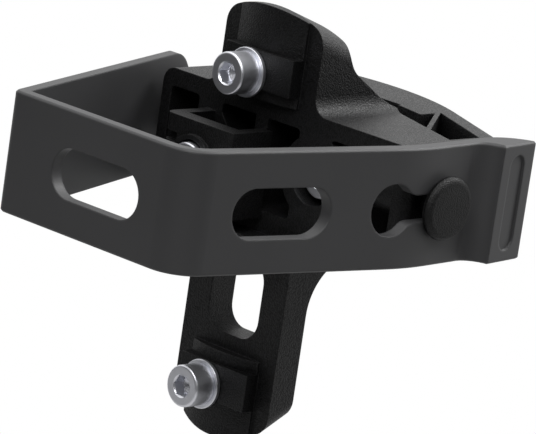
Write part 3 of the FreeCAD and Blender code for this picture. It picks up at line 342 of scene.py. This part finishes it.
screw_head = 5.0
screw_face = 1.4
screw_edge = 0.45
head_bevel = 0.15
screw_thread = 2.5
screw_neck = 2.25
neck_bevel = 0.25
thread_pitch = 0.8
thread_depth = 0.42
thread_start = 0.2
rings_per_pitch = 8
key_width = 4.0
key_depth = 2.6


def socket_screw(name, necked):
    """A socket head screw in place of its plain solid."""
    low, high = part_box(name)
    middle = (low + high) / 2
    radius = (high.z - low.z) / 2 / MM
    length = (high.y - low.y) / MM
    start = -low.y / MM if necked else screw_head
    profile = [(0, 0), (radius - screw_face, 0),
               *rounding(radius - screw_edge, screw_edge, screw_edge, screw_edge, 0, 90, 4),
               (radius, screw_head - head_bevel), (radius - head_bevel, screw_head)]
    if necked:
        profile += [(screw_neck, screw_head), (screw_neck, start - neck_bevel)]
    else:
        profile += [(screw_thread, screw_head)]
    rings = round((length - start) / thread_pitch * rings_per_pitch)
    profile += [(screw_thread, start + (length - start - screw_edge) * i / rings)
                for i in range(rings + 1)]
    profile += [(screw_thread - screw_edge, length), (0, length)]
    piece = turned(f"{name}_turned", profile, (middle.x, low.y, middle.z), FACING_FRAME, zinc,
                   pitch=thread_pitch, thread_start=start + thread_start,
                   thread_end=length - screw_edge, thread_depth=thread_depth,
                   key_width=key_width, key_depth=key_depth)
    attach(piece, "root")
    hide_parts(name)


socket_screw("boss_screw_upper", necked=True)
socket_screw("boss_screw_lower", necked=True)
socket_screw("bar_screw_left", necked=False)
socket_screw("bar_screw_right", necked=False)


# Washers: two flat M5 washers, blanked from steel sheet and plated like the screws. One lies
# under the head of each boss screw, and the blanking leaves its edges a little round.
washer_bore = 2.75
washer_edge = 0.22


def flat_washer(name):
    """A flat washer with rounded edges in place of its plain solid."""
    low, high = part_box(name)
    middle = (low + high) / 2
    radius = (high.z - low.z) / 2 / MM
    gauge = (high.y - low.y) / MM
    outer = [*rounding(radius - washer_edge, washer_edge, washer_edge, washer_edge, 0, 90, 4),
             *rounding(radius - washer_edge, gauge - washer_edge, washer_edge, washer_edge, 90,
                       180, 4)]
    profile = [(washer_bore, 0), *outer, (washer_bore, gauge), (washer_bore, 0)]
    piece = turned(f"{name}_turned", profile, (middle.x, low.y, middle.z), FACING_FRAME, zinc)
    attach(piece, "root")
    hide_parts(name)


flat_washer("boss_washer_upper")
flat_washer("boss_washer_lower")


# Floor and room: a plain pale table top under the bracket, in a soft room that is brightest
# overhead, pale behind the object and dim in front of it. The camera sees both as plain white,
# and so do mirrored rays that leave low towards the back, and in part those that meet the floor.
def sees_white(tree, mirrored):
    """1 for camera rays, and the given share for rays off a surface or through glass."""
    path = add(tree, "ShaderNodeLightPath").outputs
    other = add(tree, "ShaderNodeMath", {"operation": "ADD", "use_clamp": True},
                _0=path["Is Glossy Ray"], _1=path["Is Transmission Ray"])
    return add(tree, "ShaderNodeMath", {"operation": "MULTIPLY_ADD", "use_clamp": True},
               _0=other.outputs["Value"], _1=mirrored, _2=path["Is Camera Ray"]).outputs["Value"]


table_half = 0.7
table_z = -0.25
table_mirrored = 0.3
floor_mesh = bpy.data.meshes.new("floor")
floor_mesh.from_pydata([(-table_half, -table_half, table_z), (table_half, -table_half, table_z),
                        (table_half, table_half, table_z), (-table_half, table_half, table_z)],
                       [], [(0, 1, 2, 3)])
floor = bpy.data.objects.new("floor", floor_mesh)
bpy.context.scene.collection.objects.link(floor)
white_floor, floor_tree, floor_shader = finish_of("white_floor")
floor_shader.inputs["Base Color"].default_value = linear("#8c8c8c")
floor_shader.inputs["Roughness"].default_value = 0.9
floor_glow = add(floor_tree, "ShaderNodeEmission", None, Color=(1, 1, 1, 1), Strength=1.0)
floor_mix = add(floor_tree, "ShaderNodeMixShader", None,
                _0=sees_white(floor_tree, table_mirrored),
                _1=floor_shader.outputs["BSDF"], _2=floor_glow.outputs["Emission"])
floor_tree.links.new(floor_mix.outputs["Shader"],
                     floor_tree.nodes["Material Output"].inputs["Surface"])
floor_mesh.materials.append(white_floor)

world = bpy.data.worlds.new("room")
bpy.context.scene.world = world
world.use_nodes = True
room = world.node_tree
room_way = add(room, "ShaderNodeTexCoord").outputs["Generated"]
room_behind = add(room, "ShaderNodeVectorMath", {"operation": "DOT_PRODUCT"}, _0=room_way,
                  _1=(-0.45, 0.75, 0.48)).outputs["Value"]
room_height = add(room, "ShaderNodeSeparateXYZ", None, Vector=room_way).outputs["Z"]
room_tone = add(room, "ShaderNodeMath", {"operation": "ADD"},
                _0=span(room, room_behind, 0.02, 0.78, source=(-0.2, 0.8),
                        shape="SMOOTHSTEP"),
                _1=span(room, room_height, 0.0, 1.6, source=(0.3, 0.95)))
room_low = add(room, "ShaderNodeMath", {"operation": "MULTIPLY"},
               _0=span(room, room_behind, 0.0, 1.0, source=(-0.2, 0.8), shape="SMOOTHSTEP"),
               _1=span(room, room_height, 1.0, 0.0, source=(0.3, 0.6)))
room_light = add(room, "ShaderNodeBackground", None, Color=(1, 1, 1, 1),
                 Strength=room_tone.outputs["Value"])
room_white = add(room, "ShaderNodeBackground", None, Color=(1, 1, 1, 1), Strength=1.0)
room_mix = add(room, "ShaderNodeMixShader", None, _0=sees_white(room, room_low.outputs["Value"]),
               _1=room_light.outputs["Background"], _2=room_white.outputs["Background"])
room.links.new(room_mix.outputs["Shader"], room.nodes["World Output"].inputs["Surface"])


# Lamps: a key box high in front on the right, and a smaller box high behind on the right that
# lights the hollow of the flares and the top edges.
def panel(name, place, size, power):
    """A square soft box that faces the object."""
    lamp = bpy.data.lights.new(name, "AREA")
    lamp.size = size
    lamp.energy = power
    item = bpy.data.objects.new(name, lamp)
    item.location = place
    item.rotation_euler = (-Vector(place)).to_track_quat("-Z", "Y").to_euler()
    bpy.context.scene.collection.objects.link(item)


panel("key_box", (0.38, -0.55, 0.68), size=0.5, power=5.2)
panel("rim_box", (0.24, 0.66, 0.66), size=0.4, power=5.4)


# Camera: the photograph's own place, a long lens 0.85 m away, turned, raised and rolled as there.
# It looks a little beside and above the middle of the two boss screws.
azimuth, height, roll = math.radians(43.7), math.radians(13.3), math.radians(8.22)
distance = 0.85
beside, above = 0.01265, 0.00276
screws_middle = Vector((0, -0.0159, 0))
behind = Vector((math.sin(azimuth) * math.cos(height), -math.cos(azimuth) * math.cos(height),
                 math.sin(height)))
level = Vector((math.cos(azimuth), math.sin(azimuth), 0))
upright = behind.cross(level)
right = level * math.cos(roll) + upright * math.sin(roll)
up = upright * math.cos(roll) - level * math.sin(roll)
eye = screws_middle + behind * distance
aim = screws_middle + right * beside + up * above
back = (eye - aim).normalized()
right = up.cross(back).normalized()
up = back.cross(right)
lens = bpy.data.cameras.new("camera")
lens.lens = 289.8
lens.sensor_width = 36.0
lens.clip_start = 0.01
camera = bpy.data.objects.new("camera", lens)
camera.location = eye
camera.rotation_mode = "QUATERNION"
camera.rotation_quaternion = Matrix((right, up, back)).transposed().to_quaternion()
bpy.context.scene.collection.objects.link(camera)
bpy.context.scene.camera = camera
bpy.context.scene.view_settings.view_transform = "Standard"
